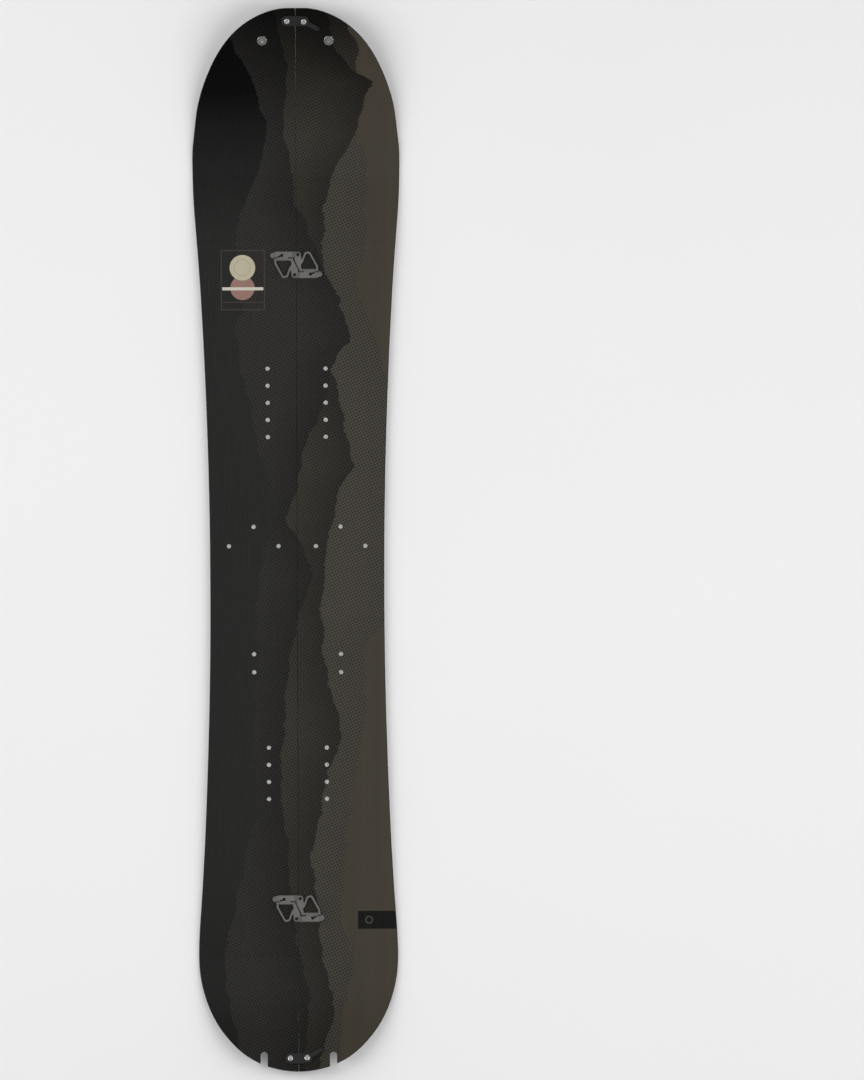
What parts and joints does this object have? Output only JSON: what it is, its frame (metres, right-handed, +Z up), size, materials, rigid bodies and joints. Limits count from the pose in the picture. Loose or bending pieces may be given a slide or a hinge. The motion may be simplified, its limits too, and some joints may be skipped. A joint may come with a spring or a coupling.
{
  "type": "splitboard",
  "caption": "Snowboard split lengthwise into two halves, joined along the seam by lever clips and by swinging hooks at the tips, with threaded inserts for bindings and climbing hardware.",
  "frame": {"origin": "on the ground under the middle of the board: the middle of the bottom of its bounding box, on the seam", "axes": "+X to the right half seen from above, +Y from tail to nose, +Z up out of the topsheet"},
  "size_m": [0.308, 1.58, 0.0635],
  "materials": {
    "base": "stone ground",
    "bolt": "bright",
    "clip": "bead blasted and anodised grey",
    "core": "planed",
    "edge": "ground",
    "grommet": "polished",
    "guard": "brushed",
    "hook": "satin dark grey",
    "insert": "turned",
    "laminate": "clear resin over glass cloth",
    "nut": "bright",
    "pin": "ground",
    "screw": "black oxide",
    "sidewall": "machined",
    "spacer": "machined",
    "topsheet": "satin printed sheet"
  },
  "bodies": {
    "left_half": {"front_left_clip_pin": "pin", "front_left_clip_plate": "clip", "front_left_clip_screws": "screw", "left_base": "base", "left_binding_inserts": "insert", "left_core": "core", "left_inner_edge": "edge", "left_inner_sidewall": "sidewall", "left_lower_laminate": "laminate", "left_nose_grommet": "grommet", "left_nose_guard": "guard", "left_nose_spacer": "spacer", "left_outer_edge": "edge", "left_outer_sidewall": "sidewall", "left_tail_guard": "guard", "left_tail_spacer": "spacer", "left_topsheet": "topsheet", "left_touring_inserts": "insert", "left_upper_laminate": "laminate", "nose_hook_plate": "hook", "nose_plate_bolt": "bolt", "nose_plate_nut": "nut", "rear_left_clip_pin": "pin", "rear_left_clip_plate": "clip", "rear_left_clip_screws": "screw", "tail_hook_plate": "hook", "tail_plate_bolt": "bolt", "tail_plate_nut": "nut"},
    "right_half": {"front_right_clip_pin": "pin", "front_right_clip_plate": "clip", "front_right_clip_screws": "screw", "nose_pivot_bolt": "bolt", "nose_pivot_nut": "nut", "rear_right_clip_pin": "pin", "rear_right_clip_plate": "clip", "rear_right_clip_screws": "screw", "right_base": "base", "right_binding_inserts": "insert", "right_core": "core", "right_inner_edge": "edge", "right_inner_sidewall": "sidewall", "right_lower_laminate": "laminate", "right_nose_grommet": "grommet", "right_nose_guard": "guard", "right_nose_spacer": "spacer", "right_outer_edge": "edge", "right_outer_sidewall": "sidewall", "right_tail_guard": "guard", "right_tail_spacer": "spacer", "right_topsheet": "topsheet", "right_touring_inserts": "insert", "right_upper_laminate": "laminate", "tail_pivot_bolt": "bolt", "tail_pivot_nut": "nut"},
    "front_left_lever": {"front_left_clip_lever": "clip"},
    "front_right_lever": {"front_right_clip_lever": "clip"},
    "rear_left_lever": {"rear_left_clip_lever": "clip"},
    "rear_right_lever": {"rear_right_clip_lever": "clip"},
    "nose_hook": {"nose_hook": "hook"},
    "tail_hook": {"tail_hook": "hook"}
  },
  "joints": [
    {"name": "split", "type": "slide", "parent": "left_half", "child": "right_half", "axis": [1, 0, 0], "range_m": [0, 0.25]},
    {"name": "front_left_clip", "type": "hinge", "parent": "left_half", "child": "front_left_lever", "pos_m": [-0.0188, 0.4172, 0.0119], "axis": [-1, 0, 0], "range_deg": [0, 110]},
    {"name": "front_right_clip", "type": "hinge", "parent": "right_half", "child": "front_right_lever", "pos_m": [0.0188, 0.4012, 0.0119], "axis": [1, 0, 0], "range_deg": [0, 110]},
    {"name": "rear_left_clip", "type": "hinge", "parent": "left_half", "child": "rear_left_lever", "pos_m": [-0.0188, -0.54014, 0.00923], "axis": [-1, 0, 0], "range_deg": [0, 110]},
    {"name": "rear_right_clip", "type": "hinge", "parent": "right_half", "child": "rear_right_lever", "pos_m": [0.0188, -0.55614, 0.00892], "axis": [1, 0, 0], "range_deg": [0, 110]},
    {"name": "nose_hook_turn", "type": "hinge", "parent": "right_half", "child": "nose_hook", "pos_m": [0.0125, 0.7713, 0.05616], "axis": [0, -0.342, 0.9397], "range_deg": [0, 75]},
    {"name": "tail_hook_turn", "type": "hinge", "parent": "right_half", "child": "tail_hook", "pos_m": [0.0125, -0.7708, 0.03351], "axis": [0, -0.2756, -0.9613], "range_deg": [0, 75]}
  ]
}
